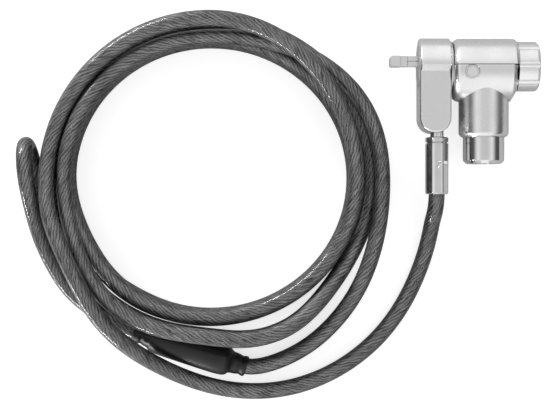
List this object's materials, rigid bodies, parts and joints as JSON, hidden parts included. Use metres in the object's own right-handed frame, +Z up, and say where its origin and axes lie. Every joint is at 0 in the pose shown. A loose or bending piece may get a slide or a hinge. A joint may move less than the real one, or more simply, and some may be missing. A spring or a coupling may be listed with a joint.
{
  "type": "laptop cable lock",
  "caption": "Key-operated laptop lock with a hook nose for a security slot, a swivel strap and a coiled jacketed steel cable ending in a crimped loop.",
  "frame": {"origin": "centre of the seat face round the nose, on the knob's axis", "axes": "+X from the nose to the knob, +Y away from the key barrel, +Z up from the table the lock lies on"},
  "size_m": [0.1506, 0.1127, 0.0232],
  "materials": {
    "satin_metal": "satin nickel plated die casting",
    "chrome": "bright chrome plate",
    "pin_steel": "ground steel",
    "steel": "turned steel",
    "brass": "turned brass",
    "seal": "black nitrile rubber",
    "wire_rope": "bright galvanised wire strands",
    "clear_jacket": "smoke-clear glossy vinyl",
    "crimp_metal": "pressed aluminium",
    "black_sleeve": "matt black moulded vinyl"
  },
  "bodies": {
    "coil": {"coil_rope": "wire_rope", "coil_jacket": "clear_jacket", "loop_jacket": "clear_jacket", "loop_crimp": "crimp_metal", "loop_sleeve": "black_sleeve"},
    "tail": {"tail_rope": "wire_rope", "tail_jacket": "clear_jacket", "end_ferrule": "chrome", "swivel_stud": "chrome", "stud_washer": "steel"},
    "strap": {"swivel_strap": "satin_metal"},
    "head": {"lock_body": "satin_metal", "top_cover": "satin_metal", "retaining_pins": "pin_steel", "neck_bush": "steel", "strap_washer": "steel", "t_bar": "satin_metal", "t_bar_pin": "steel", "key_shell": "chrome", "shell_pin": "steel"},
    "carriage": {"lug_carriage": "satin_metal"},
    "knob": {"knob": "satin_metal", "drive_spindle": "steel", "spindle_clip": "steel", "knob_screw": "steel", "knob_cap": "satin_metal", "knob_o_ring": "seal"},
    "plug": {"key_plug": "brass", "detainer_discs": "brass", "spacer_discs": "steel", "sidebar": "steel", "plug_circlip": "steel", "tail_cam": "steel"}
  },
  "joints": [
    {"name": "cable_flex", "type": "hinge", "parent": "coil", "child": "tail", "pos_m": [0.0046, -0.045, -0.0039], "axis": [1, 0, 0], "range_deg": [0, 25]},
    {"name": "strap_swivel", "type": "hinge", "parent": "tail", "child": "strap", "pos_m": [0.0055, -0.02, 0], "axis": [0, 1, 0], "range_deg": [-75, 75]},
    {"name": "head_roll", "type": "hinge", "parent": "strap", "child": "head", "pos_m": [0.0046, 0, 0], "axis": [1, 0, 0], "continuous": true},
    {"name": "knob_turn", "type": "hinge", "parent": "head", "child": "knob", "pos_m": [0.0315, 0, 0], "axis": [1, 0, 0], "range_deg": [0, 180]},
    {"name": "lug_slide", "type": "slide", "parent": "head", "child": "carriage", "axis": [1, 0, 0], "range_m": [0, 0.0036]},
    {"name": "key_turn", "type": "hinge", "parent": "head", "child": "plug", "pos_m": [0.01904, -0.02, 0], "axis": [0, 1, 0], "range_deg": [0, 90]}
  ],
  "couplings": [
    {"joint": "lug_slide", "follows": "knob_turn", "m_per_rad": 0.0011459}
  ]
}
